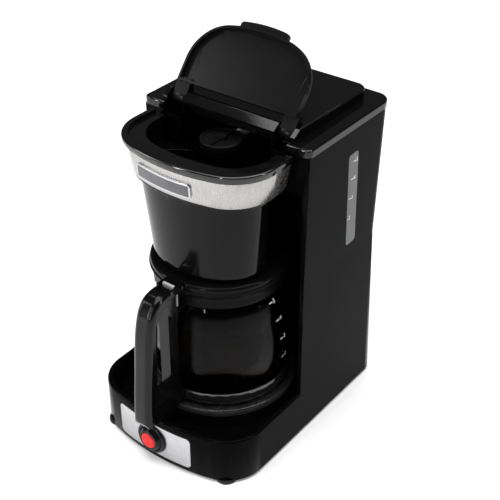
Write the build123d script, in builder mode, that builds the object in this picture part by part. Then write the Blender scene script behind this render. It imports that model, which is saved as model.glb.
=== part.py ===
"""Drip coffee maker with a lift-up lid, brew basket, water tank and glass carafe.

Millimetres. X runs to the right, Y runs to the back and Z runs up. The origin is on the
table, under the middle of the machine. The lid is drawn standing open.
"""

import os

from build123d import *

os.makedirs("parts", exist_ok=True)

# ---- whole machine
body_width = 160.0
base_front = -103.5  # front of the base, on the centre line
base_bow_radius = 208.0
base_corner = 36.0
tower_front = -4.5
tower_back = 119.5  # at the table; the back leans in up to the seam and out again above it
waist_back = 111.5
crown_back = 115.0
tower_corner = 14.0
foot_height = 3.0
foot_neck = 3.0
base_top = 46.5
seam_height = 158.0
tank_top = 278.0
wall = 2.6
fit_gap = 0.3  # between parts that are placed by hand or only lie near each other
running_gap = 0.08  # round pins and shafts that turn or slide

half_body = body_width / 2

# ---- recess for the carafe
deck_height = 30.0
rim_width_top = 4.5
rim_width_deck = 11.0
carafe_y = -12.5
bay_radius = 76.5
bay_top = 244.0
arch_radius = 9.0
dais_radius = 66.0
dais_hole_radius = 58.0
dais_top = 42.5

# ---- switch and trim plate
switch_x = -4.0
switch_z = 23.6
trim_width = 79.0
trim_height = 31.5
trim_thickness = 0.8
trim_corner = 4.0
bezel_radius = 15.0
barrel_radius = 12.9
button_radius = 11.8
lens_radius = 7.6
stem_of_switch = 2.2

# ---- mains inlet
inlet_x = -45.0
inlet_z = 20.0
gland_radius = 6.0
gland_flange = 9.0

# ---- warming plate
gasket_height = 3.0
plate_radius = 64.0
plate_thickness = 1.5
coil_radius = 38.0
coil_tube = 4.2
water_tube_inner = 2.8

# ---- tank
tank_flare = 2.0
tank_floor = 3.0
window_y = 61.0
window_width = 14.0
window_height = 88.0
window_z = 212.0
window_lean = 3.0
sill_height = 250.0
fill_width = 90.0
outlet_x = -32.9
pipe_y = 86.5
riser_radius = 4.0
spout_z = 266.0

# ---- tank cover and hinge
cover_top = 284.5
cover_overhang = 0.5
panel_half = 65.0
panel_top = 293.0
panel_back = 106.5
bar_low = 285.5
bar_depth = 5.0
hinge_y = 8.5
hinge_z = 286.0
hinge_pin_radius = 2.0
arm_inner = 46.5
arm_outer = 60.0
arm_radius = 5.0
hinge_side_gap = 1.0

# ---- brew head
head_bow_radius = 145.0
cup_bottom = 175.0
cup_top = 246.0
cup_wall = 2.5
cup_low = (51.5, 38.0, -26.0)  # half width, half depth and middle of the cup's lower edge
cup_high = (58.6, 35.5, -32.0)
band_low = 248.0
band_high = 272.0
band_thickness = 0.8
band_back = -10.5
shell_low = (63.1, -68.7)  # half width and front of the wall that carries the band
shell_high = (68.1, -70.7)
shell_corner = 37.0
rim_half = 70.5
rim_front = -76.0
rim_top = 279.0
rim_corner = 40.0
rim_seat = 276.2
rim_width = 5.2
basket_y = -31.0
basket_low = (46.2, 28.8, basket_y)
basket_high = (53.5, 28.8, basket_y - 3.4)
basket_wall = 1.8
outlet_radius = 10.0

# ---- lid
lid_half = 58.5
lid_front = -59.75
lid_corner = 36.0
lid_back = -2.5
lid_top = 284.0
lid_plate = 2.0
lid_depth = 7.0
lid_wall = 2.0
lid_open_angle = 130.0
tab_half = 23.0
tab_reach = 5.0

# ---- carafe
carafe_bottom = dais_top + gasket_height + plate_thickness + fit_gap
glass = 2.2
glass_foot = 50.0
glass_low = 59.8
glass_wide = 61.8
glass_neck = 51.8
glass_top = 162.0
band_bottom_z = 51.0
band_top_z = 62.0
collar_bottom = 148.5
collar_top = 164.0
collar_radius = 59.5
carafe_lid_top = 169.6
lever_pin_y = -72.0
lever_pin_z = 167.2
lever_pin_radius = 1.5
knuckle_radius = 2.8
clamp_z = 57.0
handle_half = 9.0
grip_round = 5.0
strap_half = 5.0
strap_front = -86.5
strap_low = 69.0
strap_high = 147.0
ear_thickness = 2.6


# ---- outlines that several parts share
def bowed_plan(half, front, back, bow_radius, front_corner, back_corner=0.0):
    """Outline with a bowed front and rounded corners, drawn in the sketch that is open."""
    with Locations((0, (front + back) / 2)):
        Rectangle(2 * half, back - front)
    with Locations((0, front + bow_radius)):
        Circle(bow_radius, mode=Mode.INTERSECT)
    fillet(vertices().group_by(Axis.Y)[0], front_corner)
    if back_corner:
        fillet(vertices().group_by(Axis.Y)[-1], back_corner)


def back_at(height):
    """How far back the tower reaches at a height."""
    if height < seam_height:
        share = (height - foot_height) / (seam_height - foot_height)
        return tower_back + share * (waist_back - tower_back)
    share = (height - seam_height) / (tank_top - seam_height)
    return waist_back + share * (crown_back - waist_back)


def half_at(height):
    """Half the tower's width at a height: the tank widens above the seam."""
    return half_body + tank_flare * max(0, height - seam_height) / (tank_top - seam_height)


def body_plan(inset, back):
    """Outline of the base and tower together, drawn in by the inset."""
    bowed_plan(
        half_body - inset,
        base_front + inset,
        back - inset,
        base_bow_radius - inset,
        base_corner - inset,
        tower_corner - inset,
    )


def tower_plan(height, inset=0.0):
    """Outline of the tower at a height, drawn in by the inset."""
    half = half_at(height) - inset
    front = tower_front + inset
    back = back_at(height) - inset
    with Locations((0, (front + back) / 2)):
        Rectangle(2 * half, back - front)
    fillet(vertices().group_by(Axis.Y)[-1], tower_corner - inset)


def head_plan(half, front, back, corner):
    bowed_plan(half, front, back, head_bow_radius, corner)


def cup_plan(size, inset=0.0):
    half, depth, middle = size
    with Locations((0, middle)):
        Ellipse(half - inset, depth - inset)


def switch_disc(radius, start, end, mode=Mode.ADD):
    """Round bar on the switch axis; start and end are measured outwards from the base front."""
    with BuildSketch(switch_plane.offset(start)) as disc:
        Circle(radius)
    extrude(disc.sketch, amount=end - start, mode=mode)


switch_plane = Plane(
    origin=(switch_x, base_front, switch_z), x_dir=(1, 0, 0), z_dir=(0, -1, 0)
)
carafe_plane = Plane(origin=(0, carafe_y, 0), x_dir=(1, 0, 0), z_dir=(0, -1, 0))
carafe_axis = Axis((0, carafe_y, 0), (0, 0, 1))
side_plane = Plane(origin=(0, 0, 0), x_dir=(0, 1, 0), z_dir=(1, 0, 0))
on_floor = (Align.CENTER, Align.CENTER, Align.MIN)

front_foot_x = half_body - 19
back_foot_x = half_body - 16
foot_spots = [(-front_foot_x, -85), (front_foot_x, -85), (-back_foot_x, 98), (back_foot_x, 98)]
screw_boss = 4.6
back_screw_x = half_body - wall - screw_boss + 0.4
front_screw_x = half_body - 22
screw_spots = [
    (-front_screw_x, -52), (front_screw_x, -52), (-back_screw_x, 90), (back_screw_x, 90)
]

# ---- cutters: shapes that are only taken away from others
with BuildPart() as bay_cutter:
    with BuildSketch(Plane.XY.offset(deck_height)):
        with Locations((0, carafe_y)):
            Circle(bay_radius)
        with Locations((0, tower_front)):
            Rectangle(200, 200, align=(Align.CENTER, Align.MIN), mode=Mode.INTERSECT)
    extrude(amount=bay_top - deck_height)
    fillet(bay_cutter.edges().filter_by(GeomType.CIRCLE).sort_by(Axis.Z)[-1], arch_radius)

with BuildPart() as bay_lining:
    with BuildSketch(Plane.XY.offset(deck_height - wall)):
        with Locations((0, carafe_y)):
            Circle(bay_radius + wall)
        with Locations((0, tower_front - 10)):
            Rectangle(200, 200, align=(Align.CENTER, Align.MIN), mode=Mode.INTERSECT)
    extrude(amount=bay_top - deck_height + 2 * wall)
    lining_arc = bay_lining.edges().filter_by(GeomType.CIRCLE).sort_by(Axis.Z)[-1]
    fillet(lining_arc, arch_radius + wall)

hollow_start = deck_height - wall - 1
with BuildPart() as tower_hollow:
    with BuildSketch(Plane.XY.offset(hollow_start)):
        tower_plan(hollow_start, wall)
    with BuildSketch(Plane.XY.offset(seam_height)):
        tower_plan(seam_height, wall)
    loft()
    add(bay_lining.part, mode=Mode.SUBTRACT)

with BuildPart() as tank_hollow:
    with BuildSketch(Plane.XY.offset(seam_height + tank_floor)):
        tower_plan(seam_height + tank_floor, wall)
    with BuildSketch(Plane.XY.offset(tank_top + 0.01)):
        tower_plan(tank_top + 0.01, wall)
    loft()
    add(bay_lining.part, mode=Mode.SUBTRACT)

window_plane = Plane(
    origin=(half_body, window_y, window_z), x_dir=(0, 1, 0), z_dir=(1, 0, 0)
).rotated((window_lean, 0, 0))
with BuildPart() as window_cutter:
    with BuildSketch(window_plane):
        RectangleRounded(window_width, window_height, 3)
    extrude(amount=20, both=True)

# ---- base and lower tower, one moulding
with BuildPart() as body_housing:
    with BuildSketch(Plane.XY.offset(foot_height)):
        bowed_plan(
            half_body, base_front, tower_front + tower_corner, base_bow_radius, base_corner
        )
    extrude(amount=base_top - foot_height)
    fillet(body_housing.edges().group_by(Axis.Z)[-1], 2.0)
    with BuildSketch(Plane.XY.offset(foot_height)):
        tower_plan(foot_height)
    with BuildSketch(Plane.XY.offset(seam_height)):
        tower_plan(seam_height)
    loft()
    # sloping inner side of the rim
    for height, inset in ((deck_height, rim_width_deck), (base_top, rim_width_top)):
        with BuildSketch(Plane.XY.offset(height)):
            bowed_plan(
                half_body - inset,
                base_front + inset,
                tower_front,
                base_bow_radius - inset,
                base_corner - inset,
            )
    loft(mode=Mode.SUBTRACT)
    add(bay_cutter.part, mode=Mode.SUBTRACT)
    # hollows, open underneath
    with BuildSketch(Plane.XY.offset(foot_height)):
        body_plan(wall, back_at(deck_height))
    extrude(amount=deck_height - wall - foot_height, mode=Mode.SUBTRACT)
    add(tower_hollow.part, mode=Mode.SUBTRACT)
    # round dais under the warming plate
    with Locations((0, carafe_y, deck_height - wall)):
        Cylinder(dais_radius, dais_top - deck_height + wall, align=on_floor)
    with Locations((0, carafe_y, deck_height - 2 * wall)):
        Cylinder(dais_hole_radius, dais_top, align=on_floor, mode=Mode.SUBTRACT)
    # bosses for the screws that hold the bottom cover
    for x, y in screw_spots:
        with Locations((x, y, foot_height + 2)):
            Cylinder(screw_boss, deck_height - wall - foot_height - 2, align=on_floor)
    for x, y in screw_spots:
        with Locations((x, y, foot_height)):
            Cylinder(1.5, 14, align=on_floor, mode=Mode.SUBTRACT)
    # pocket for the switch, and the way through for its stem
    switch_disc(barrel_radius + 0.1, 2, -7, mode=Mode.SUBTRACT)
    switch_disc(stem_of_switch + 1, 0, -14, mode=Mode.SUBTRACT)
    # hole for the mains inlet
    with BuildSketch(Plane.XZ.offset(-tower_back)):
        with Locations((inlet_x, inlet_z)):
            Circle(gland_radius + 0.1)
    extrude(
        amount=tower_back - back_at(inlet_z + gland_radius) + 2 * wall + 1, mode=Mode.SUBTRACT
    )

with BuildPart() as base_cover:
    with BuildSketch(Plane.XY.offset(foot_height)):
        body_plan(wall + fit_gap, back_at(deck_height))
        with Locations(*foot_spots):
            Circle(foot_neck + 0.05, mode=Mode.SUBTRACT)
        with Locations(*screw_spots):
            Circle(1.7, mode=Mode.SUBTRACT)
        with Locations((0, carafe_y)):
            with GridLocations(12, 0, 7, 1):
                SlotOverall(36, 4, rotation=90, mode=Mode.SUBTRACT)
    extrude(amount=2)

with BuildPart() as rubber_feet:
    for x, y in foot_spots:
        with Locations((x, y, 0)):
            Cylinder(9, foot_height, align=on_floor)
        with Locations((x, y, foot_height)):
            Cylinder(foot_neck, 2, align=on_floor)
        with Locations((x, y, foot_height + 2)):
            Cone(3.8, 2.4, 1.6, align=on_floor)

with BuildPart() as base_screws:
    for x, y in screw_spots:
        with Locations((x, y, foot_height - 1.8)):
            Cylinder(3.0, 1.8, align=on_floor)
        with Locations((x, y, foot_height)):
            Cylinder(1.45, 11, align=on_floor)
        with Locations((x, y, foot_height - 1.8)):
            Box(3.4, 0.8, 0.8, align=on_floor, mode=Mode.SUBTRACT)
            Box(0.8, 3.4, 0.8, align=on_floor, mode=Mode.SUBTRACT)

# ---- front trim plate and switch
with BuildPart() as front_trim_plate:
    with BuildSketch(switch_plane.offset(-20)):
        RectangleRounded(trim_width, trim_height, trim_corner)
        Circle(barrel_radius + 0.2, mode=Mode.SUBTRACT)
    extrude(amount=40)
    with BuildSketch(Plane.XY):
        with Locations((0, base_front + base_bow_radius)):
            Circle(base_bow_radius + 0.05 + trim_thickness)
            Circle(base_bow_radius + 0.05, mode=Mode.SUBTRACT)
    extrude(amount=60, mode=Mode.INTERSECT)

with BuildPart() as switch_bezel:
    switch_disc(barrel_radius, -6.7, 1.0)
    switch_disc(bezel_radius, 0.9, 3.2)
    chamfer(switch_bezel.faces().sort_by(Axis.Y)[0].edges(), 1.2)
    switch_disc(button_radius + fit_gap, -9, 9, mode=Mode.SUBTRACT)

with BuildPart() as power_button:
    switch_disc(button_radius, -4.2, 2.6)
    with BuildSketch(switch_plane.offset(2.6)):
        Circle(button_radius)
    with BuildSketch(switch_plane.offset(6.2)):
        Circle(button_radius - 2.2)
    loft()
    fillet(power_button.faces().sort_by(Axis.Y)[0].edges(), 0.8)
    switch_disc(stem_of_switch, -10, -4)
    switch_disc(lens_radius, 4.6, 9, mode=Mode.SUBTRACT)

with BuildPart() as power_lens:
    switch_disc(lens_radius - 0.02, 4.65, 6.9)
    fillet(power_lens.faces().sort_by(Axis.Y)[0].edges(), 1.6)

with BuildPart() as switch_body:
    with BuildSketch(switch_plane.offset(-8.4)):
        with Locations((0, -5.3)):
            Rectangle(24, 17)
    extrude(amount=-14)
    switch_disc(stem_of_switch + fit_gap, -14.5, -8, mode=Mode.SUBTRACT)
    with BuildSketch(switch_plane.offset(-22.4)):
        with Locations((-7, -5.3), (0, -5.3), (7, -5.3)):
            Rectangle(0.8, 4.8)
    extrude(amount=-7)

# ---- warming plate and heater
with BuildPart() as plate_gasket:
    with Locations((0, carafe_y, dais_top)):
        Cylinder(dais_radius - 0.4, gasket_height, align=on_floor)
        Cylinder(dais_hole_radius, 3 * gasket_height, mode=Mode.SUBTRACT)

plate_underside = dais_top + gasket_height
with BuildPart() as warming_plate:
    with Locations((0, carafe_y, plate_underside)):
        Cylinder(plate_radius, plate_thickness, align=on_floor)
    fillet(warming_plate.faces().sort_by(Axis.Z)[-1].edges(), 1.0)
    with Locations((0, carafe_y, plate_underside - 2)):
        Cylinder(dais_hole_radius - 0.4, 2, align=on_floor)
        Cylinder(dais_hole_radius - 1.6, 2, align=on_floor, mode=Mode.SUBTRACT)

coil_z = plate_underside - coil_tube
coil_in_x = outlet_x
coil_in_y = carafe_y + (coil_radius**2 - coil_in_x**2) ** 0.5
coil_out_y = carafe_y + coil_radius
with BuildPart() as coil_from_right:
    with BuildSketch(carafe_plane):
        with Locations((coil_radius, coil_z)):
            Circle(coil_tube)
            Circle(water_tube_inner, mode=Mode.SUBTRACT)
    revolve(axis=carafe_axis, revolution_arc=300)
# the coil starts on the right, so it is turned to leave its gap at the back left
heater_ring = coil_from_right.part.rotate(carafe_axis, 150)

with BuildPart() as heating_element:
    add(heater_ring)
    # elbows and legs, each a little thinner than what it joins
    for x, y in ((coil_in_x, coil_in_y), (0, coil_out_y)):
        with Locations((x, y, coil_z)):
            Sphere(coil_tube - 0.1)
        with Locations((x, y, coil_z - 18)):
            Cylinder(riser_radius, 18, align=on_floor)
    for x, y in ((coil_in_x, coil_in_y), (0, coil_out_y)):
        with Locations((x, y, coil_z)):
            Sphere(water_tube_inner - 0.1, mode=Mode.SUBTRACT)
        with Locations((x, y, coil_z - 19)):
            Cylinder(water_tube_inner - 0.3, 19, align=on_floor, mode=Mode.SUBTRACT)

with BuildPart() as element_bracket:
    with Locations((0, carafe_y, coil_z - coil_tube - 1.5)):
        Box(96, 16, 1.5, align=on_floor)
        Cylinder(9.5, 1.5, align=on_floor)
        Cylinder(6.2, 1.5, align=on_floor, mode=Mode.SUBTRACT)

with BuildPart() as thermostat:
    with Locations((0, carafe_y, coil_z - 9)):
        Cylinder(6.0, plate_underside - coil_z + 9, align=on_floor)
    with Locations((0, carafe_y, coil_z - coil_tube - 4.5)):
        Cylinder(9.0, 3.0, align=on_floor)
    with Locations((-5, carafe_y, coil_z - 15), (5, carafe_y, coil_z - 15)):
        Box(0.8, 5, 8, align=on_floor)

with BuildPart() as thermal_fuse:
    with Locations((26, carafe_y - 3, coil_z - coil_tube - 4.2)):
        Cylinder(2.2, 14, rotation=(90, 0, 0))
        Cylinder(0.7, 30, rotation=(90, 0, 0))

# ---- water path below the tank
hose_wall = 1.9
hose_start = coil_z - 14
hose_low = 14.0


def hose(x, y, end_z, inner):
    """Hose from a heater tube down, back and up to the tank; inner is its bore radius."""
    with BuildLine() as path:
        FilletPolyline(
            (x, y, hose_start),
            (x, y, hose_low),
            (x, pipe_y, hose_low),
            (x, pipe_y, end_z),
            radius=9,
        )
    with BuildSketch(Plane(origin=path.line @ 0, z_dir=path.line % 0)) as ring:
        Circle(inner + hose_wall)
        Circle(inner, mode=Mode.SUBTRACT)
    sweep(ring.sketch, path=path.line)


with BuildPart() as inlet_hose:
    hose(coil_in_x, coil_in_y, seam_height - 18, riser_radius + 0.05)

with BuildPart() as riser_hose:
    hose(0, coil_out_y, seam_height - 6, riser_radius + 0.05)

with BuildPart() as check_valve:
    with Locations((coil_in_x, pipe_y, seam_height - 14)):
        Cylinder(7.5, 12, align=on_floor)
    with Locations((coil_in_x, pipe_y, seam_height - 28)):
        Cylinder(riser_radius, 14, align=on_floor)
    with Locations((coil_in_x, pipe_y, seam_height - 12)):
        Cylinder(5.05, 10, align=on_floor, mode=Mode.SUBTRACT)
    with Locations((coil_in_x, pipe_y, seam_height - 28)):
        Cylinder(2.6, 20, align=on_floor, mode=Mode.SUBTRACT)

# ---- mains inlet at the back, without a cord
gland_seat = back_at(inlet_z - gland_flange) + 0.05  # the flange clears the leaning wall
with BuildPart() as cord_gland:
    with BuildSketch(Plane.XZ.offset(-gland_seat - 2)):
        with Locations((inlet_x, inlet_z)):
            Circle(gland_flange)
    extrude(amount=2)
    with BuildSketch(Plane.XZ.offset(-gland_seat)):
        with Locations((inlet_x, inlet_z)):
            Circle(gland_radius)
    extrude(amount=wall + 5)
    with BuildSketch(Plane.XZ.offset(-gland_seat - 2)):
        with Locations((inlet_x, inlet_z)):
            Circle(3.4)
    extrude(amount=20, mode=Mode.SUBTRACT)

# ---- tank
with BuildPart() as tank_shell:
    for height in (seam_height, tank_top):
        with BuildSketch(Plane.XY.offset(height)):
            tower_plan(height)
    loft()
    add(bay_cutter.part, mode=Mode.SUBTRACT)
    add(tank_hollow.part, mode=Mode.SUBTRACT)
    add(window_cutter.part, mode=Mode.SUBTRACT)
    # way from the brew head's top into the tank, and room for the lid's arms
    with Locations((0, tower_front, sill_height)):
        Box(fill_width, 10, 60, align=on_floor, mode=Mode.SUBTRACT)
    with Locations((0, tower_front, tank_top - 4)):
        Box(2 * arm_outer + 3, 10, 10, align=on_floor, mode=Mode.SUBTRACT)
    # outlet down to the check valve, and the boss that the riser passes through
    with Locations((outlet_x, pipe_y, seam_height - 10)):
        Cylinder(5.0, 10 + tank_floor, align=on_floor)
    with Locations((outlet_x, pipe_y, seam_height - 10)):
        Cylinder(3.0, 20, align=on_floor, mode=Mode.SUBTRACT)
    with Locations((0, pipe_y, seam_height)):
        Cylinder(8.0, tank_floor + 5, align=on_floor)
    with Locations((0, pipe_y, seam_height - 1)):
        Cylinder(riser_radius + 0.05, 30, align=on_floor, mode=Mode.SUBTRACT)

with BuildPart() as water_window:
    with BuildSketch(window_plane):
        RectangleRounded(window_width - 0.1, window_height - 0.1, 2.95)
    extrude(amount=20, both=True)
    for inset, mode in ((-0.25, Mode.INTERSECT), (wall - 0.6, Mode.SUBTRACT)):
        with BuildSketch(Plane.XY.offset(seam_height)):
            tower_plan(seam_height, inset)
        with BuildSketch(Plane.XY.offset(tank_top)):
            tower_plan(tank_top, inset)
        loft(mode=mode)

spout_end = (0, basket_y + 23, spout_z)
with BuildPart() as riser_tube:
    with BuildLine() as riser_path:
        FilletPolyline(
            (0, pipe_y, seam_height - 14), (0, pipe_y, spout_z), spout_end, radius=14
        )
    with BuildSketch(Plane(origin=riser_path.line @ 0, z_dir=riser_path.line % 0)):
        Circle(riser_radius)
        Circle(water_tube_inner, mode=Mode.SUBTRACT)
    sweep(path=riser_path.line)

head_disc_radius = 17.5
with BuildPart() as shower_head:
    with Locations((0, spout_end[1], spout_z + riser_radius - 3.5)):
        Cylinder(head_disc_radius, 6, align=on_floor)
    fillet(shower_head.faces().sort_by(Axis.Z)[-1].edges(), 1.5)
    # shallow dish on top with a hub, and a spreading chamber underneath
    with Locations((0, spout_end[1], spout_z + riser_radius + 1.2)):
        Cylinder(head_disc_radius - 2.2, 6, align=on_floor, mode=Mode.SUBTRACT)
        Cylinder(4.5, 3.2, align=on_floor)
        Box(2.4, 2 * head_disc_radius - 5, 1.2, align=on_floor)
    with Locations((0, spout_end[1], spout_z + riser_radius - 9)):
        Cylinder(head_disc_radius - 4, 8, align=on_floor)
        Cylinder(head_disc_radius - 6, 8.4, align=on_floor, mode=Mode.SUBTRACT)
    with BuildSketch(Plane.XZ.offset(-spout_end[1] - head_disc_radius - 1)):
        with Locations((0, spout_z)):
            Circle(riser_radius + 0.05)
    extrude(amount=head_disc_radius + 1, mode=Mode.SUBTRACT)

# ---- tank cover with the raised panel that carries the lid hinge
with BuildPart() as tank_cover:
    cover_side = tank_flare + cover_overhang
    cover_front = tower_front - 1.5
    cover_back = crown_back + cover_overhang
    with BuildSketch(Plane.XY.offset(tank_top)):
        with Locations((0, (cover_front + cover_back) / 2)):
            Rectangle(body_width + 2 * cover_side, cover_back - cover_front)
        fillet(vertices().group_by(Axis.Y)[0], 5)
        fillet(vertices().group_by(Axis.Y)[-1], tower_corner)
    extrude(amount=cover_top - tank_top)
    fillet(tank_cover.edges().group_by(Axis.Z)[-1], 1.5)
    # tongue that keeps the cover in place inside the tank
    with BuildSketch(Plane.XY.offset(tank_top - 3)):
        tongue_out = wall + fit_gap
        tongue_in = tongue_out + 2
        tower_plan(tank_top - 3, tongue_out)
        with Locations((0, (tower_front + crown_back) / 2)):
            Rectangle(
                2 * (half_body + tank_flare - tongue_in),
                crown_back - tower_front - 2 * tongue_in,
                mode=Mode.SUBTRACT,
            )
    extrude(amount=3.5)
    with BuildSketch(side_plane):
        with BuildLine():
            Polyline(
                (tower_front + 3, cover_top - 2),
                (tower_front + 3, 288.5),
                (6, panel_top),
                (panel_back, panel_top - 1),
                (panel_back, cover_top - 2),
                close=True,
            )
        make_face()
    extrude(amount=panel_half, both=True)
    upright = tank_cover.edges().filter_by(Axis.Z)
    fillet([e for e in upright if e.center().Z > 288 and e.center().Y > 100], 12)
    fillet(tank_cover.faces().filter_by(lambda f: f.center().Z > 292).edges(), 1.0)
    # undercut that leaves a bar in front, between the lid's arms
    with Locations((0, tower_front + 3, tank_top - 4)):
        Box(
            2 * arm_inner - 6,
            2 * bar_depth,
            bar_low - tank_top + 4,
            align=(Align.CENTER, Align.CENTER, Align.MIN),
            mode=Mode.SUBTRACT,
        )
    # room for the lid, then for its two arms
    with Locations((0, tower_front + 3, tank_top - 4)):
        Box(
            2 * (arm_outer + hinge_side_gap),
            20,
            12,
            align=(Align.CENTER, Align.MAX, Align.MIN),
            mode=Mode.SUBTRACT,
        )
    arm_middle = (arm_inner + arm_outer) / 2
    notch = arm_outer - arm_inner + 2 * hinge_side_gap
    for side in (-1, 1):
        with Locations((side * arm_middle, hinge_y + arm_radius + 2.5, tank_top - 4)):
            Box(
                notch,
                30,
                30,
                align=(Align.CENTER, Align.MAX, Align.MIN),
                mode=Mode.SUBTRACT,
            )
        with BuildSketch(side_plane.offset(side * arm_middle)):
            with Locations((hinge_y, hinge_z)):
                Circle(hinge_pin_radius + 0.02)
        extrude(amount=10, both=True, mode=Mode.SUBTRACT)

with BuildPart() as hinge_pins:
    for side in (-1, 1):
        with BuildSketch(side_plane.offset(side * arm_middle)):
            with Locations((hinge_y, hinge_z)):
                Circle(hinge_pin_radius)
        extrude(amount=9.9, both=True)

# ---- brew head
with BuildPart() as head_housing:
    # cup
    with BuildSketch(Plane.XY.offset(cup_bottom)):
        cup_plan(cup_low)
    with BuildSketch(Plane.XY.offset(cup_top)):
        cup_plan(cup_high)
    loft()
    # the part of the cup that would enter the tank wall is left off
    with Locations((0, tower_front - fit_gap, bay_top - fit_gap)):
        Box(200, 60, 20, align=(Align.CENTER, Align.MIN, Align.MIN), mode=Mode.SUBTRACT)
    # shelf and wall that carry the steel band
    with BuildSketch(Plane.XY.offset(cup_top - 0.5)):
        head_plan(shell_low[0], shell_low[1], tower_front - fit_gap, shell_corner)
    extrude(amount=band_low - cup_top + 0.5)
    with BuildSketch(Plane.XY.offset(band_low)):
        head_plan(shell_low[0], shell_low[1], tower_front - fit_gap, shell_corner)
    with BuildSketch(Plane.XY.offset(band_high)):
        head_plan(shell_high[0], shell_high[1], tower_front - fit_gap, shell_corner)
    loft()
    # hollow of the cup and of the wall above it
    with BuildSketch(Plane.XY.offset(cup_bottom + 3)):
        cup_plan(cup_low, cup_wall)
    with BuildSketch(Plane.XY.offset(band_low + 1)):
        cup_plan(cup_high, cup_wall)
    loft(mode=Mode.SUBTRACT)
    with BuildSketch(Plane.XY.offset(band_low + 0.8)):
        head_plan(shell_low[0] - wall, shell_low[1] + wall, 20, shell_corner - wall)
    with BuildSketch(Plane.XY.offset(band_high + 0.01)):
        head_plan(shell_high[0] - wall, shell_high[1] + wall, 20, shell_corner - wall)
    loft(mode=Mode.SUBTRACT)
    with Locations((0, basket_y, cup_bottom - 1)):
        Cylinder(outlet_radius + 3, 6, align=on_floor, mode=Mode.SUBTRACT)

with BuildPart() as head_rim:
    with BuildSketch(Plane.XY.offset(band_high)):
        head_plan(rim_half - 1.5, rim_front + 2, band_back, rim_corner - 1)
    extrude(amount=3.5)
    with BuildSketch(Plane.XY.offset(band_high + 3.2)):
        head_plan(rim_half, rim_front, band_back, rim_corner)
    extrude(amount=rim_top - band_high - 3.2)
    fillet(head_rim.faces().sort_by(Axis.Z)[-1].edges(), 1.4)
    with BuildSketch(Plane.XY.offset(band_high)):
        head_plan(lid_half - 2.5, lid_front + 2.5, 20, lid_corner - 2)
    extrude(amount=20, mode=Mode.SUBTRACT)
    with BuildSketch(Plane.XY.offset(rim_seat)):
        head_plan(rim_half - rim_width, rim_front + rim_width, 20, rim_corner - rim_width)
    extrude(amount=20, mode=Mode.SUBTRACT)

with BuildPart() as steel_band:
    for grow, mode in ((0.05 + band_thickness, Mode.ADD), (0.05, Mode.SUBTRACT)):
        with BuildSketch(Plane.XY.offset(band_low)):
            head_plan(shell_low[0] + grow, shell_low[1] - grow, 40, shell_corner + grow)
        with BuildSketch(Plane.XY.offset(band_high)):
            head_plan(shell_high[0] + grow, shell_high[1] - grow, 40, shell_corner + grow)
        loft(mode=mode)
    with Locations((0, band_back, 0)):
        Box(300, 300, 900, align=(Align.CENTER, Align.MIN, Align.CENTER), mode=Mode.SUBTRACT)
    # round the lower corner of each end
    with BuildSketch(side_plane):
        with Locations((band_back, band_low)):
            Rectangle(6, 6, align=(Align.MAX, Align.MIN))
        with Locations((band_back - 6, band_low + 6)):
            Circle(6, mode=Mode.SUBTRACT)
    extrude(amount=100, both=True, mode=Mode.SUBTRACT)

badge_z = 257.5
with BuildPart() as badge:
    with BuildSketch(Plane.XZ.offset(40)):
        with Locations((-9, badge_z)):
            RectangleRounded(56, 12.5, 3)
    extrude(amount=60)
    for grow, mode in ((2.35, Mode.INTERSECT), (0.9, Mode.SUBTRACT)):
        with BuildSketch(Plane.XY.offset(band_low)):
            head_plan(shell_low[0] + grow, shell_low[1] - grow, 40, shell_corner + grow)
        with BuildSketch(Plane.XY.offset(band_high)):
            head_plan(shell_high[0] + grow, shell_high[1] - grow, 40, shell_corner + grow)
        loft(mode=mode)

# ---- brew basket and its drip stop
basket_floor = cup_bottom + 3 + 0.4
with BuildPart() as brew_basket:
    with BuildSketch(Plane.XY.offset(basket_floor)):
        cup_plan(basket_low)
    with BuildSketch(Plane.XY.offset(cup_top - 2)):
        cup_plan(basket_high)
    loft()
    with BuildSketch(Plane.XY.offset(basket_floor + 2)):
        cup_plan(basket_low, basket_wall)
    with BuildSketch(Plane.XY.offset(cup_top - 1.9)):
        cup_plan(basket_high, basket_wall)
    loft(mode=Mode.SUBTRACT)
    # outlet under the floor, with a seat for the drip stop
    with Locations((0, basket_y, cup_bottom - 1.2)):
        Cylinder(outlet_radius, basket_floor - cup_bottom + 2, align=on_floor)
    with Locations((0, basket_y, cup_bottom - 2)):
        Cylinder(
            outlet_radius - basket_wall,
            basket_floor - cup_bottom + 2.2,
            align=on_floor,
            mode=Mode.SUBTRACT,
        )
        Cylinder(3.6, 20, align=on_floor, mode=Mode.SUBTRACT)
    # ribs that hold the filter paper off the wall
    for x in (-30, -18, 18, 30):
        with Locations((x, basket_y, basket_floor + 1.9)):
            Box(1.6, 34, 2.0, align=on_floor)

stem_radius = 2.2
with BuildPart() as drip_stop:
    with Locations((0, basket_y, cup_bottom - 2.4)):
        Cylinder(6.5, 1.8, align=on_floor)
        Cylinder(stem_radius, 13, align=on_floor)
    with Locations((0, basket_y, basket_floor + 2.6)):
        Cylinder(6.2, 1.6, align=on_floor)

with BuildPart() as drip_seal:
    with Locations((0, basket_y, basket_floor + 2.05)):
        Cylinder(5.4, 0.55, align=on_floor)
        Cylinder(stem_radius, 3, mode=Mode.SUBTRACT)

spring_top = basket_floor + 0.1
spring_bottom = cup_bottom - 0.5
with BuildPart() as drip_spring:
    with BuildLine() as coil:
        Helix(pitch=1.3, height=spring_top - spring_bottom - 0.6, radius=4.7,
              center=(0, basket_y, spring_bottom + 0.3))
    with BuildSketch(Plane(origin=coil.line @ 0, z_dir=coil.line % 0)):
        Circle(0.25)
    sweep(path=coil.line, is_frenet=True)

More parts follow.
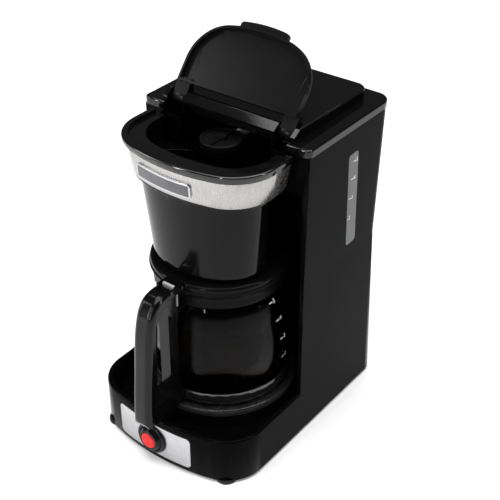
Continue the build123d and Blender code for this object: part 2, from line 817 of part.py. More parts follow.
# ---- lid, first drawn closed, then swung open about its hinge
hinge_axis = Axis((0, hinge_y, hinge_z), (-1, 0, 0))
with BuildPart() as lid_closed:
    with BuildSketch(Plane.XY.offset(lid_top - lid_depth)):
        head_plan(lid_half, lid_front, lid_back, lid_corner)
    extrude(amount=lid_depth)
    fillet(lid_closed.faces().sort_by(Axis.Z)[-1].edges(), 1.2)
    with BuildSketch(Plane.XY.offset(lid_top - lid_depth)):
        head_plan(
            lid_half - lid_wall,
            lid_front + lid_wall,
            lid_back - lid_wall,
            lid_corner - lid_wall,
        )
    extrude(amount=lid_depth - lid_plate, mode=Mode.SUBTRACT)
    with BuildSketch(Plane.XY.offset(rim_top + 0.8)):
        with Locations((0, lid_front + 4)):
            Rectangle(2 * tab_half, 4 + tab_reach, align=(Align.CENTER, Align.MAX))
        with Locations((0, lid_front - tab_reach + head_bow_radius)):
            Circle(head_bow_radius, mode=Mode.INTERSECT)
        fillet(vertices().group_by(Axis.Y)[0], 3)
    extrude(amount=lid_top - rim_top - 0.8)
    for side in (-1, 1):
        with BuildSketch(side_plane.offset(side * arm_middle)):
            with BuildLine():
                Polyline(
                    (lid_back - 4, lid_top - 4.2),
                    (lid_back - 4, lid_top - 0.5),
                    (hinge_y - 3.4, hinge_z + 3.6),
                    (hinge_y, hinge_z),
                    (hinge_y - 1, hinge_z - arm_radius + 0.1),
                    close=True,
                )
            make_face()
            with Locations((hinge_y, hinge_z)):
                Circle(arm_radius)
                Circle(hinge_pin_radius + running_gap, mode=Mode.SUBTRACT)
        extrude(amount=(arm_outer - arm_inner) / 2, both=True)

lid_swung = lid_closed.part.rotate(hinge_axis, lid_open_angle)
with BuildPart() as lid:
    add(lid_swung)

# ---- carafe
def glass_profile(inset):
    """Half section of the carafe glass, its foot and wall drawn in by the inset."""
    floor = carafe_bottom + inset
    with BuildLine() as outline:
        base = Line((0, floor), (glass_foot - inset, floor))
        heel = Spline(base @ 1, (glass_low - inset, band_bottom_z + 1),
                      tangents=((1, 0), (0, 1)))
        low = Line(heel @ 1, (glass_low - inset, band_top_z + 1))
        side = Spline(
            low @ 1,
            (glass_wide - inset, 84),
            (59.6 - inset, 118),
            (55.6 - inset, 140),
            (glass_neck - inset, 153),
            tangents=((0, 1), (0, 1)),
        )
        neck = Line(side @ 1, (glass_neck - inset, glass_top))
        top = Line(neck @ 1, (0, glass_top))
        Line(top @ 1, (0, floor))
    make_face(outline.edges())


with BuildPart() as carafe_glass:
    with BuildSketch(carafe_plane):
        glass_profile(0)
    revolve(axis=carafe_axis)
    with BuildSketch(carafe_plane):
        glass_profile(glass)
        with Locations((0, glass_top)):
            Rectangle(glass_neck - glass, 4, align=(Align.MIN, Align.CENTER))
    revolve(axis=carafe_axis, mode=Mode.SUBTRACT)

with BuildPart() as carafe_collar:
    with BuildSketch(carafe_plane):
        with BuildLine():
            Polyline(
                (glass_neck + 0.1, collar_bottom + 5),
                (55.6, collar_bottom),
                (56.4, collar_bottom),
                (56.2, 157),
                (collar_radius - 0.8, 161.5),
                (collar_radius, collar_top - 1),
                (collar_radius - 1, collar_top),
                (glass_neck - 1, collar_top),
                (glass_neck - 1, glass_top + 0.1),
                (glass_neck + 0.1, glass_top + 0.1),
                close=True,
            )
        make_face()
    revolve(axis=carafe_axis)

band_front = carafe_y - glass_low - 0.9
with BuildPart() as carafe_band:
    with Locations((0, carafe_y, band_bottom_z + 1)):
        Cylinder(glass_low + 0.9, band_top_z - band_bottom_z - 1, align=on_floor)
    with Locations((0, band_front + 1, (band_bottom_z + 1 + band_top_z) / 2)):
        Box(13, 5.6, 8, align=(Align.CENTER, Align.MAX, Align.CENTER))
    with Locations((0, carafe_y, band_bottom_z)):
        Cylinder(glass_low + 0.1, 20, align=on_floor, mode=Mode.SUBTRACT)
    with BuildSketch(Plane.XZ.offset(-carafe_y)):
        with Locations((0, clamp_z)):
            Circle(1.6)
    extrude(amount=90, mode=Mode.SUBTRACT)

handle_neck = carafe_y - collar_radius - 0.2
strap_back = carafe_y - glass_wide - 1.2
with BuildPart() as carafe_handle:
    with BuildSketch(side_plane):
        with BuildLine():
            Spline(
                (-121, 54),
                (-116.6, 112),
                (-111.6, 150),
                (-104.0, 165.5),
                (-90, 171),
                tangents=((0.02, 1), (1, 0.05)),
            )
            Polyline(
                (-90, 171),
                (-84, 171),
                (-80.5, 168),
                (-80.5, 150.5),
                (handle_neck + 2.4, 150.5),
                (handle_neck + 2.4, 147),
                (strap_back, 142),
                (strap_back, 66),
                (band_front - 4.8, 64.5),
                (band_front - 4.8, 52),
                (-108, 50),
                (-119, 50),
                (-121, 54),
            )
        make_face()
        with BuildLine():
            Polyline(
                (-106.4, strap_low - 1),
                (-103.2, 114),
                (-100.6, 152),
                (-94, 158),
                (strap_front, 153),
                (strap_front, strap_low - 1),
                close=True,
            )
        make_face(mode=Mode.SUBTRACT)
    extrude(amount=handle_half, both=True)
    rims = carafe_handle.edges().filter_by(lambda e: abs(e.center().X) > handle_half - 0.1)
    fillet(rims.filter_by(lambda e: e.center().Y < -108 and e.center().Z > 54), grip_round)
    fillet(rims.filter_by(lambda e: -108 < e.center().Y < -99 and 70 < e.center().Z < 150), 4.5)
    # the strap behind the fingers is slimmer than the grip
    for side in (-1, 1):
        with Locations((side * strap_half, strap_front - 8, strap_low)):
            Box(
                2 * (handle_half - strap_half),
                40,
                strap_high - strap_low,
                align=(Align.MIN if side > 0 else Align.MAX, Align.MIN, Align.MIN),
                mode=Mode.SUBTRACT,
            )
    # ears for the lid's pin
    for side in (-1, 1):
        with BuildSketch(side_plane.offset(side * (handle_half - ear_thickness / 2))):
            with Locations((lever_pin_y, lever_pin_z)):
                Circle(knuckle_radius)
                Rectangle(11, 2 * knuckle_radius, align=(Align.MAX, Align.CENTER))
        extrude(amount=ear_thickness / 2, both=True)
    with BuildSketch(side_plane):
        with Locations((lever_pin_y, lever_pin_z)):
            Circle(lever_pin_radius)
    extrude(amount=handle_half + 1, both=True, mode=Mode.SUBTRACT)
    with BuildSketch(Plane.XZ.offset(70)):
        with Locations((0, clamp_z)):
            Circle(1.5)
    extrude(amount=22, mode=Mode.SUBTRACT)

with BuildPart() as band_screw:
    with BuildSketch(Plane.XZ.offset(-band_front + 0.2)):
        with Locations((0, clamp_z)):
            Circle(1.45)
    extrude(amount=18)

lever_half = handle_half - ear_thickness - 0.6
lever_foot = 152.0
with BuildPart() as carafe_lid:
    with Locations((0, carafe_y, collar_top + 0.3)):
        Cylinder(collar_radius - 1, carafe_lid_top - collar_top - 0.3, align=on_floor)
    fillet(carafe_lid.faces().sort_by(Axis.Z)[-1].edges(), 3)
    # inlet dish and hole under the brew basket
    with Locations((0, basket_y, carafe_lid_top - 2)):
        Cylinder(22, 3, align=on_floor, mode=Mode.SUBTRACT)
        Cylinder(4.5, 30, mode=Mode.SUBTRACT)
    # skirt that sits in the neck
    with Locations((0, carafe_y, 156)):
        Cylinder(glass_neck - glass - 1.2, collar_top + 0.4 - 156, align=on_floor)
        Cylinder(
            glass_neck - glass - 3.2,
            collar_top + 0.3 - 156,
            align=on_floor,
            mode=Mode.SUBTRACT,
        )
    # room for the handle's two ears
    with Locations((0, lever_pin_y + knuckle_radius + 0.6, collar_top)):
        Box(
            2 * handle_half + 1,
            20,
            20,
            align=(Align.CENTER, Align.MAX, Align.MIN),
            mode=Mode.SUBTRACT,
        )
    # knuckle and thumb lever
    with BuildSketch(side_plane):
        with Locations((lever_pin_y, lever_pin_z)):
            Circle(knuckle_radius)
            Rectangle(8, carafe_lid_top - lever_pin_z, align=(Align.MIN, Align.MIN))
        with BuildLine():
            Polyline(
                (lever_pin_y, lever_pin_z + knuckle_radius - 0.1),
                (lever_pin_y - 5.2, 170.6),
                (lever_pin_y - 7.2, 170.0),
                (lever_pin_y - 6.6, lever_foot),
                (lever_pin_y - 5.0, lever_foot),
                (lever_pin_y - 3.6, lever_pin_z - 4),
                (lever_pin_y, lever_pin_z - knuckle_radius + 0.1),
                close=True,
            )
        make_face()
    extrude(amount=lever_half, both=True)
    with Locations((0, lever_pin_y - 5.0, lever_foot)):
        Box(16, 1.6, 11, align=(Align.CENTER, Align.MAX, Align.MIN))
    with BuildSketch(side_plane):
        with Locations((lever_pin_y, lever_pin_z)):
            Circle(lever_pin_radius + running_gap)
    extrude(amount=handle_half, both=True, mode=Mode.SUBTRACT)

with BuildPart() as carafe_lid_pin:
    with BuildSketch(side_plane):
        with Locations((lever_pin_y, lever_pin_z)):
            Circle(lever_pin_radius)
    extrude(amount=handle_half - 0.1, both=True)

pieces = {
    "body_housing": body_housing,
    "base_cover": base_cover,
    "rubber_feet": rubber_feet,
    "base_screws": base_screws,
    "front_trim_plate": front_trim_plate,
    "switch_bezel": switch_bezel,
    "power_button": power_button,
    "power_lens": power_lens,
    "switch_body": switch_body,
    "plate_gasket": plate_gasket,
    "warming_plate": warming_plate,
    "heating_element": heating_element,
    "element_bracket": element_bracket,
    "thermostat": thermostat,
    "thermal_fuse": thermal_fuse,
    "inlet_hose": inlet_hose,
    "riser_hose": riser_hose,
    "check_valve": check_valve,
    "cord_gland": cord_gland,
    "tank_shell": tank_shell,
    "water_window": water_window,
    "riser_tube": riser_tube,
    "shower_head": shower_head,
    "tank_cover": tank_cover,
    "hinge_pins": hinge_pins,
    "head_housing": head_housing,
    "head_rim": head_rim,
    "steel_band": steel_band,
    "badge": badge,
    "brew_basket": brew_basket,
    "drip_stop": drip_stop,
    "drip_seal": drip_seal,
    "drip_spring": drip_spring,
    "lid": lid,
    "carafe_glass": carafe_glass,
    "carafe_collar": carafe_collar,
    "carafe_band": carafe_band,
    "band_screw": band_screw,
    "carafe_handle": carafe_handle,
    "carafe_lid": carafe_lid,
    "carafe_lid_pin": carafe_lid_pin,
}
for name, piece in pieces.items():
    piece.part.label = name
    export_step(piece.part, f"parts/{name}.step")
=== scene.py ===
"""Looks for the drip coffee maker: materials, coffee, level marks, badge face, light and camera.

Everything is in metres, in the CAD model's own frame. The CAD nodes keep their place: they
only get materials and a fine edge rounding.
"""
import math

import bmesh
import bpy
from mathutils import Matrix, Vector
from mathutils.bvhtree import BVHTree


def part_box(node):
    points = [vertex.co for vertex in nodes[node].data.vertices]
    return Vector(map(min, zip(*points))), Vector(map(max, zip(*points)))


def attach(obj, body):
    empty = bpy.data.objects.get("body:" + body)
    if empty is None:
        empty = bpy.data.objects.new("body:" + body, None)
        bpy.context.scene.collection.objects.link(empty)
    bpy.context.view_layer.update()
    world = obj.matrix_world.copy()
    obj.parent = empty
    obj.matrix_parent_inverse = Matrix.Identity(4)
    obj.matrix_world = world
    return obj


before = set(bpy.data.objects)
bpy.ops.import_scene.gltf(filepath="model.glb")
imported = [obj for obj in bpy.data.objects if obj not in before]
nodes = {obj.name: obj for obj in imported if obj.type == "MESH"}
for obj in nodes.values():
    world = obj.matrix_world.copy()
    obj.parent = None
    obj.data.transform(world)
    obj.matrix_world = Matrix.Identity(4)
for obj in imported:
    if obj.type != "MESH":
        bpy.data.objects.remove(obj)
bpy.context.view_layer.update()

MM = 0.001


# ---- node helpers
class Material:
    """A Principled material with a few short ways to build its procedural detail."""

    def __init__(self, name, **values):
        self.mat = bpy.data.materials.new(name)
        self.mat.use_nodes = True
        self.tree = self.mat.node_tree
        self.shader = self.tree.nodes["Principled BSDF"]
        self.coords = self.tree.nodes.new("ShaderNodeTexCoord")
        self.bumped = None
        for socket, value in values.items():
            self.set(socket.replace("_", " "), value)

    def set(self, socket, value):
        if isinstance(value, tuple) and len(value) == 3:
            value = (*value, 1.0)
        self.shader.inputs[socket].default_value = value

    def new(self, kind, **settings):
        node = self.tree.nodes.new(kind)
        for key, value in settings.items():
            if hasattr(node, key):
                setattr(node, key, value)
            else:
                node.inputs[key.replace("_", " ")].default_value = value
        return node

    def link(self, a, b):
        self.tree.links.new(a, b)

    def noise(self, scale, detail=3.0, stretch=(1, 1, 1), roughness=0.5):
        """Noise over the object's own coordinates; scale is in features per metre."""
        mapping = self.new("ShaderNodeMapping")
        mapping.inputs["Scale"].default_value = stretch
        self.link(self.coords.outputs["Object"], mapping.inputs["Vector"])
        noise = self.new("ShaderNodeTexNoise", Scale=scale, Detail=detail, Roughness=roughness)
        self.link(mapping.outputs["Vector"], noise.inputs["Vector"])
        return noise.outputs["Fac"]

    def spread(self, value, low, high, start=0.3, end=0.7):
        """Maps a 0 to 1 pattern onto low to high."""
        node = self.new("ShaderNodeMapRange")
        for socket, number in (("From Min", start), ("From Max", end), ("To Min", low), ("To Max", high)):
            node.inputs[socket].default_value = number
        self.link(value, node.inputs["Value"])
        return node.outputs["Result"]

    def vary_roughness(self, value, low, high):
        self.link(self.spread(value, low, high), self.shader.inputs["Roughness"])

    def vary_color(self, value, dark, light, start=0.3, end=0.7):
        ramp = self.new("ShaderNodeValToRGB")
        ramp.color_ramp.elements[0].position = start
        ramp.color_ramp.elements[0].color = (*dark, 1)
        ramp.color_ramp.elements[1].position = end
        ramp.color_ramp.elements[1].color = (*light, 1)
        self.link(value, ramp.inputs["Fac"])
        self.link(ramp.outputs["Color"], self.shader.inputs["Base Color"])

    def bump(self, value, strength, distance):
        """Adds a bump; a second call stacks on the first."""
        node = self.new("ShaderNodeBump", Strength=strength, Distance=distance)
        self.link(value, node.inputs["Height"])
        if self.bumped:
            self.link(self.bumped, node.inputs["Normal"])
        self.bumped = node.outputs["Normal"]
        self.link(self.bumped, self.shader.inputs["Normal"])
        return self


def gloss_plastic(name, color, low, high, level=0.3):
    """Moulded gloss plastic: faint flow marks in the gloss and a very fine orange peel."""
    m = Material(name, Specular_IOR_Level=level)
    dark = tuple(c * 0.85 for c in color)
    light = tuple(c * 1.2 for c in color)
    m.vary_color(m.noise(35, 4), dark, light)
    m.vary_roughness(m.noise(22, 5), low, high)
    m.bump(m.noise(420, 2), 0.05, 0.0002)
    m.bump(m.noise(2600, 3), 0.03, 0.00006)
    return m


def satin_plastic(name, color, low=0.35, high=0.48, level=0.35, grain=0.12):
    """Plastic with a fine spark-eroded grain."""
    m = Material(name, Specular_IOR_Level=level)
    m.vary_color(m.noise(60, 4), tuple(c * 0.8 for c in color), tuple(c * 1.25 for c in color))
    m.vary_roughness(m.noise(90, 4), low, high)
    m.bump(m.noise(3200, 4), grain, 0.0001)
    return m


def metal(name, dark, light, low, high, stretch=(1, 1, 1), scale=500, depth=0.15):
    """Brushed or drawn metal; stretch flattens the noise into streaks."""
    m = Material(name, Metallic=1.0)
    streaks = m.noise(scale, 6, stretch, 0.65)
    m.vary_color(streaks, dark, light)
    m.vary_roughness(m.noise(scale * 0.6, 5, stretch, 0.6), low, high)
    m.bump(streaks, depth, 0.00008)
    return m


# ---- materials
black_shell = gloss_plastic("black_shell", (0.0016, 0.0014, 0.0014), 0.05, 0.10, 0.018)
black_lid = gloss_plastic("black_lid", (0.0050, 0.0050, 0.0051), 0.16, 0.24, 0.06)
black_handle = gloss_plastic("black_handle", (0.0022, 0.0022, 0.0022), 0.09, 0.16, 0.2)
black_satin = satin_plastic("black_satin", (0.003, 0.003, 0.0032), 0.30, 0.42, 0.05)
black_basket = satin_plastic("black_basket", (0.003, 0.003, 0.0032), 0.14, 0.22, 0.10)
bezel_black = gloss_plastic("bezel_black", (0.004, 0.004, 0.004), 0.12, 0.2, 0.15)
rim_black = gloss_plastic("rim_black", (0.0018, 0.0018, 0.0018), 0.06, 0.12, 0.5)
cup_black = gloss_plastic("cup_black", (0.002, 0.002, 0.002), 0.10, 0.18, 0.12)
cover_black = gloss_plastic("cover_black", (0.0018, 0.0018, 0.0018), 0.06, 0.12, 0.32)
carafe_top = gloss_plastic("carafe_top", (0.003, 0.003, 0.003), 0.12, 0.2, 0.06)
band_black = gloss_plastic("band_black", (0.008, 0.008, 0.008), 0.06, 0.12, 0.8)
# light grey here is a painted highlight for the thumb lever, which is gloss black plastic
lever_painted_highlight = gloss_plastic("lever_painted_highlight", (0.34, 0.34, 0.345), 0.14, 0.24, 0.5)

brushed_band = metal(
    "brushed_band", (0.29, 0.285, 0.28), (0.41, 0.405, 0.395), 0.22, 0.32, (1, 1, 0.008), 2600, 0.05
)
trim_metal = metal(
    "trim_metal", (0.40, 0.40, 0.41), (0.48, 0.48, 0.49), 0.36, 0.48, (0.02, 1, 1), 1500, 0.08
)
bright_steel = metal(
    "bright_steel", (0.38, 0.38, 0.39), (0.62, 0.62, 0.63), 0.18, 0.32, (1, 1, 0.1), 900, 0.1
)
cast_aluminium = metal(
    "cast_aluminium", (0.45, 0.45, 0.45), (0.66, 0.66, 0.66), 0.4, 0.6, (1, 1, 1), 700, 0.5
)
brass = metal("fuse_brass", (0.55, 0.38, 0.14), (0.8, 0.6, 0.28), 0.25, 0.4)

hot_plate = Material("hot_plate", Specular_IOR_Level=0.5)
hot_plate.vary_color(hot_plate.noise(120, 5), (0.008, 0.008, 0.008), (0.02, 0.02, 0.019))
hot_plate.vary_roughness(hot_plate.noise(200, 5), 0.22, 0.36)
hot_plate.bump(hot_plate.noise(2400, 4), 0.25, 0.0001)

rubber = satin_plastic("rubber", (0.012, 0.012, 0.012), 0.6, 0.8, 0.25, 0.35)
silicone = satin_plastic("silicone", (0.62, 0.62, 0.59), 0.4, 0.55, 0.4, 0.15)
white_plastic = satin_plastic("white_plastic", (0.62, 0.62, 0.6), 0.3, 0.42, 0.4, 0.08)

window_plastic = Material(
    "window_plastic", Specular_IOR_Level=0.5, Transmission_Weight=0.35, IOR=1.49
)
window_plastic.vary_color(window_plastic.noise(70, 3), (0.11, 0.115, 0.12), (0.13, 0.135, 0.14))
window_plastic.vary_roughness(window_plastic.noise(150, 4), 0.38, 0.46)
window_plastic.bump(window_plastic.noise(1500, 3), 0.1, 0.0001)

glass = Material("carafe_glass", Transmission_Weight=1.0, IOR=1.12, Base_Color=(0.80, 0.81, 0.81))
glass.vary_roughness(glass.noise(60, 3), 0.0, 0.02)
glass.bump(glass.noise(26, 2), 0.04, 0.0006)

coffee_look = Material("coffee_look", Specular_IOR_Level=0.02, Coat_Weight=0.0)
coffee_look.vary_color(coffee_look.noise(30, 4), (0.0012, 0.0007, 0.0005), (0.003, 0.0016, 0.001))
coffee_look.vary_roughness(coffee_look.noise(80, 3), 0.04, 0.1)
coffee_look.bump(coffee_look.noise(160, 2), 0.05, 0.0003)

lens_red = Material(
    "lens_red", Specular_IOR_Level=0.2, Emission_Color=(1.0, 0.01, 0.008), Emission_Strength=0.22
)
lens_red.vary_color(lens_red.noise(180, 4), (0.30, 0.0, 0.0), (0.52, 0.004, 0.004))
lens_red.vary_roughness(lens_red.noise(300, 3), 0.08, 0.2)
lens_red.bump(lens_red.noise(1200, 2), 0.15, 0.0002)

mark_white = Material("mark_white", Specular_IOR_Level=0.3)
mark_white.vary_color(mark_white.noise(800, 3), (0.74, 0.74, 0.74), (0.88, 0.88, 0.88))
mark_white.vary_roughness(mark_white.noise(500, 3), 0.4, 0.6)

badge_silver = metal(
    "badge_silver", (0.42, 0.42, 0.43), (0.5, 0.5, 0.51), 0.34, 0.42, (0.05, 1, 1), 1200, 0.02
)
badge_field = satin_plastic("badge_field", (0.075, 0.075, 0.08), 0.30, 0.42, 0.4, 0.2)

looks = {
    black_shell: ["body_housing", "tank_shell"],
    cover_black: ["tank_cover"],
    cup_black: ["head_housing"],
    rim_black: ["head_rim"],
    black_lid: ["lid"],
    black_handle: ["carafe_handle"],
    carafe_top: ["carafe_lid"],
    black_satin: ["base_cover", "shower_head", "drip_stop", "switch_body", "cord_gland", "carafe_collar"],
    band_black: ["carafe_band"],
    black_basket: ["brew_basket"],
    bezel_black: ["switch_bezel", "power_button"],
    brushed_band: ["steel_band"],
    trim_metal: ["front_trim_plate"],
    bright_steel: [
        "base_screws", "hinge_pins", "drip_spring", "band_screw", "carafe_lid_pin",
        "element_bracket",
    ],
    cast_aluminium: ["heating_element"],
    brass: ["thermal_fuse"],
    hot_plate: ["warming_plate"],
    rubber: ["rubber_feet", "plate_gasket"],
    silicone: ["inlet_hose", "riser_hose", "drip_seal"],
    white_plastic: ["thermostat", "check_valve", "riser_tube"],
    window_plastic: ["water_window"],
    glass: ["carafe_glass"],
    lens_red: ["power_lens"],
    badge_silver: ["badge"],
}
for look, names in looks.items():
    for name in names:
        mesh = nodes[name].data
        mesh.materials.clear()
        mesh.materials.append(look.mat)

# the thumb lever, in front of the carafe lid's pin, is painted light grey: a painted highlight in place
# of the shine on its gloss black plastic
lever_mesh = nodes["carafe_lid"].data
lever_mesh.materials.append(lever_painted_highlight.mat)
LEVER_FRONT = -0.0765
for face in lever_mesh.polygons:
    if all(lever_mesh.vertices[i].co.y < LEVER_FRONT for i in face.vertices):
        face.material_index = 1

# ---- fine rounding on the parts' edges, in millimetres
EDGE_ROUND = {
    "body_housing": 0.7, "tank_cover": 0.4, "head_housing": 0.5,
    "head_rim": 0.4, "lid": 0.35, "carafe_handle": 0.6, "carafe_lid": 0.4, "carafe_collar": 0.4,
    "shower_head": 0.4, "brew_basket": 0.4, "switch_bezel": 0.3, "power_button": 0.3,
    "front_trim_plate": 0.2, "steel_band": 0.15, "badge": 0.3, "warming_plate": 0.3,
    "carafe_band": 0.2, "rubber_feet": 0.4, "cord_gland": 0.4, "base_cover": 0.3,
}
WELD_REACH = 1e-6
SHARP = math.radians(32)
for name, width in EDGE_ROUND.items():
    weld = nodes[name].modifiers.new("weld", "WELD")
    weld.merge_threshold = WELD_REACH
    bevel = nodes[name].modifiers.new("edge_round", "BEVEL")
    bevel.width = width * MM
    bevel.segments = 2
    bevel.limit_method = "ANGLE"
    bevel.angle_limit = SHARP
    bevel.use_clamp_overlap = True
    bevel.harden_normals = True


# ---- pieces that only Blender makes
def new_piece(name, mesh, look, body, smooth=True):
    piece = bpy.data.objects.new(name, mesh)
    bpy.context.scene.collection.objects.link(piece)
    mesh.materials.clear()
    mesh.materials.append(look.mat)
    for face in mesh.polygons:
        face.use_smooth = smooth
    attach(piece, body)
    return piece


def from_bmesh(bm, name):
    bmesh.ops.recalc_face_normals(bm, faces=bm.faces)
    mesh = bpy.data.meshes.new(name)
    bm.to_mesh(mesh)
    bm.free()
    return mesh


glass_low, glass_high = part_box("carafe_glass")
carafe_axis = Vector(((glass_low.x + glass_high.x) / 2, (glass_low.y + glass_high.y) / 2, 0))


def surface_of(name):
    depsgraph = bpy.context.evaluated_depsgraph_get()
    return BVHTree.FromObject(nodes[name], depsgraph)


# coffee: rings that follow the inside of the glass up to the level, with a small meniscus
LEVEL = 126 * MM
SKIN = 0.12 * MM
RING = 96
glass_wall = surface_of("carafe_glass")


def inside_radius(height):
    start = carafe_axis + Vector((0, 0, height))
    hit = glass_wall.ray_cast(start, Vector((0, 1, 0)))
    return hit[3] - SKIN


floor_hit = glass_wall.ray_cast(carafe_axis + Vector((0, 0, LEVEL)), Vector((0, 0, -1)))
coffee_floor = floor_hit[0].z + SKIN
HEEL = 9 * MM
HEEL_RINGS, SIDE_RINGS = 8, 24
heel = [coffee_floor + 0.4 * MM + HEEL * (i / HEEL_RINGS) ** 1.6 for i in range(HEEL_RINGS + 1)]
side_height = LEVEL - coffee_floor - HEEL
side = [coffee_floor + HEEL + side_height * i / SIDE_RINGS for i in range(1, SIDE_RINGS + 1)]
profile = heel + side
rings = [(inside_radius(z), z) for z in profile]
rings.append((rings[-1][0] - 0.6 * MM, LEVEL - 0.5 * MM))
rings.append((rings[-1][0] - 1.6 * MM, LEVEL - 0.8 * MM))
rings.insert(0, (rings[0][0] - 1.5 * MM, coffee_floor))
bm = bmesh.new()
loops = []
for radius, z in rings:
    loop = []
    for i in range(RING):
        turn = 2 * math.pi * i / RING
        offset = Vector((radius * math.cos(turn), radius * math.sin(turn), z))
        loop.append(bm.verts.new(carafe_axis + offset))
    loops.append(loop)
for below, above in zip(loops, loops[1:]):
    for i in range(RING):
        j = (i + 1) % RING
        bm.faces.new((below[i], below[j], above[j], above[i]))
bm.faces.new(loops[0][::-1])
bm.faces.new(loops[-1])
new_piece("coffee", from_bmesh(bm, "coffee"), coffee_look, "carafe")


# level marks
INK = 0.06 * MM  # half the printed marks' thickness
PROUD = 0.08 * MM  # how far the marks' middle stands off the wall
TICK_HEIGHT = 0.8 * MM
FAR_OUT = 0.2  # rays towards a wall start this far out


def flat_text(words, size):
    """A mesh of the words, lying in the XY plane, centred on the origin."""
    curve = bpy.data.curves.new("words", "FONT")
    curve.body = words
    curve.size = size
    curve.extrude = INK
    curve.align_x = "CENTER"
    curve.align_y = "CENTER"
    holder = bpy.data.objects.new("words", curve)
    bpy.context.scene.collection.objects.link(holder)
    mesh = bpy.data.meshes.new_from_object(holder)
    bpy.data.objects.remove(holder)
    bpy.data.curves.remove(curve)
    return mesh


def bar(bm, x, y, width, height):
    """A thin block in the XY plane, for a tick mark."""
    left, right = x - width / 2, x + width / 2
    bottom, top = y - height / 2, y + height / 2
    corners = [
        bm.verts.new((u, v, w))
        for w in (-INK, INK)
        for u, v in ((left, bottom), (right, bottom), (right, top), (left, top))
    ]
    low, high = corners[:4], corners[4:]
    bm.faces.new(low[::-1])
    bm.faces.new(high)
    for i in range(4):
        j = (i + 1) % 4
        bm.faces.new((low[i], low[j], high[j], high[i]))


def marks_mesh(name, marks, text_size, tick):
    """Numbers and ticks in one mesh, in the XY plane: marks are (text, x, y, tick x)."""
    bm = bmesh.new()
    for words, x, y, tick_x in marks:
        if words:
            start = len(bm.verts)
            bm.from_mesh(flat_text(words, text_size))
            bm.verts.ensure_lookup_table()
            for v in bm.verts[start:]:
                v.co += Vector((x, y, 0))
        bar(bm, tick_x, y, tick, TICK_HEIGHT)
    return from_bmesh(bm, name)


# on the water window, just proud of its outer face
window_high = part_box("water_window")[1]
window_wall = surface_of("water_window")
WINDOW_MARKS = [("5", 65.2, 248), ("4", 63.2, 232), ("3", 61.6, 214), ("2", 59.4, 195)]
mesh = marks_mesh(
    "window_marks",
    [(words, (y - 1.0) * MM, z * MM, (y - 4.4) * MM) for words, y, z in WINDOW_MARKS],
    text_size=5.2 * MM,
    tick=3.4 * MM,
)
for v in mesh.vertices:
    along, up, out = v.co
    hit = window_wall.ray_cast(Vector((FAR_OUT, along, up)), Vector((-1, 0, 0)))
    face_x = hit[0].x if hit[0] is not None else window_high.x
    v.co = Vector((face_x + PROUD + out, along, up))
new_piece("window_marks", mesh, mark_white, "machine", smooth=False)

# on the carafe glass, bent round it
carafe_outside = surface_of("carafe_glass")
CARAFE_MARKS = [("5", -2.8, 140), ("4", 2.6, 121), ("3", 6.0, 101), ("2", 8.6, 80)]
mesh = marks_mesh(
    "carafe_marks",
    [(words, (a + 3.5) * MM, z * MM, (a - 1.0) * MM) for words, a, z in CARAFE_MARKS],
    text_size=5.5 * MM,
    tick=4.2 * MM,
)
MARK_RADIUS = 61 * MM
for v in mesh.vertices:
    along, up, out = v.co
    turn = along / MARK_RADIUS
    away = Vector((math.cos(turn), math.sin(turn), 0))
    start = carafe_axis + Vector((0, 0, up)) + away * FAR_OUT
    hit = carafe_outside.ray_cast(start, -away)
    radius = FAR_OUT - hit[3]
    v.co = carafe_axis + Vector((0, 0, up)) + away * (radius + PROUD + out)
new_piece("carafe_marks", mesh, mark_white, "carafe", smooth=False)

# the badge's dark, blank face: a thin plate just proud of the badge, inset from its edge
badge_wall = surface_of("badge")
badge_low, badge_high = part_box("badge")
BADGE_INSET = 1.5 * MM
BADGE_COLUMNS, BADGE_ROWS = 28, 4
BADGE_GAP = 0.06 * MM
BADGE_THICK = 0.12 * MM
bm = bmesh.new()
columns = []
for i in range(BADGE_COLUMNS + 1):
    x = badge_low.x + BADGE_INSET + (badge_high.x - badge_low.x - 2 * BADGE_INSET) * i / BADGE_COLUMNS
    column = []
    for j in range(BADGE_ROWS + 1):
        z = badge_low.z + BADGE_INSET + (badge_high.z - badge_low.z - 2 * BADGE_INSET) * j / BADGE_ROWS
        hit = badge_wall.ray_cast(Vector((x, -FAR_OUT, z)), Vector((0, 1, 0)))
        column.append(bm.verts.new((x, hit[0].y - BADGE_GAP, z)))
    columns.append(column)
for left, right in zip(columns, columns[1:]):
    for j in range(BADGE_ROWS):
        bm.faces.new((left[j], right[j], right[j + 1], left[j + 1]))
thick = bmesh.ops.extrude_face_region(bm, geom=bm.faces[:])
for vert in [g for g in thick["geom"] if isinstance(g, bmesh.types.BMVert)]:
    vert.co.y -= BADGE_THICK
new_piece("badge_face", from_bmesh(bm, "badge_face"), badge_field, "machine", smooth=False)

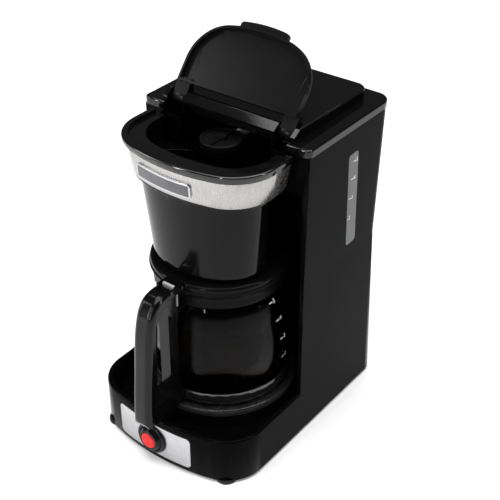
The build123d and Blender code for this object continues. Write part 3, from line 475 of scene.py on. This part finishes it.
# ---- floor, light and camera
floor_look = Material("floor_look", Specular_IOR_Level=0.2, Roughness=0.7)
floor_look.vary_color(floor_look.noise(3, 3), (0.93, 0.93, 0.93), (0.95, 0.95, 0.95))
bm = bmesh.new()
FLOOR_HALF = 6.0
bmesh.ops.create_grid(bm, x_segments=8, y_segments=8, size=FLOOR_HALF)
floor_mesh = from_bmesh(bm, "floor")
floor_mesh.materials.append(floor_look.mat)
floor = bpy.data.objects.new("floor", floor_mesh)
bpy.context.scene.collection.objects.link(floor)

world = bpy.data.worlds.new("studio")
bpy.context.scene.world = world
world.use_nodes = True
world.node_tree.nodes["Background"].inputs["Color"].default_value = (1, 1, 1, 1)
world.node_tree.nodes["Background"].inputs["Strength"].default_value = 0.08


def softbox(name, spot, target, width, height, power):
    """A rectangular soft light at spot, facing target."""
    light = bpy.data.lights.new(name, "AREA")
    light.shape = "RECTANGLE"
    light.size = width
    light.size_y = height
    light.energy = power
    lamp = bpy.data.objects.new(name, light)
    lamp.location = spot
    lamp.rotation_euler = (Vector(target) - Vector(spot)).to_track_quat("-Z", "Y").to_euler()
    bpy.context.scene.collection.objects.link(lamp)


middle = (0, 0, 0.15)
softbox("top_box", (0.1, 0.1, 1.9), middle, 1.9, 1.9, 60)
softbox("left_box", (-1.5, -1.1, 0.9), middle, 0.5, 1.5, 18)
softbox("front_strip", (0.35, -1.7, 0.75), middle, 0.05, 1.3, 9)
softbox("left_strip", (-0.75, -1.5, 0.7), middle, 0.07, 1.3, 14)
softbox("back_strip", (-1.1, 1.5, 0.62), middle, 0.9, 0.012, 1.0)
softbox("right_strip", (1.7, 0.35, 0.9), middle, 0.06, 1.3, 8)

camera_data = bpy.data.cameras.new("camera")
camera_data.lens = 78.78
camera_data.sensor_width = 36
camera = bpy.data.objects.new("camera", camera_data)
camera.location = (0.47927, -0.608, 0.67103)
camera.rotation_euler = (math.radians(56.66), 0, math.radians(36.94))
bpy.context.scene.collection.objects.link(camera)
bpy.context.scene.camera = camera
bpy.context.scene.view_settings.view_transform = "Standard"
bpy.context.scene.view_settings.look = "None"
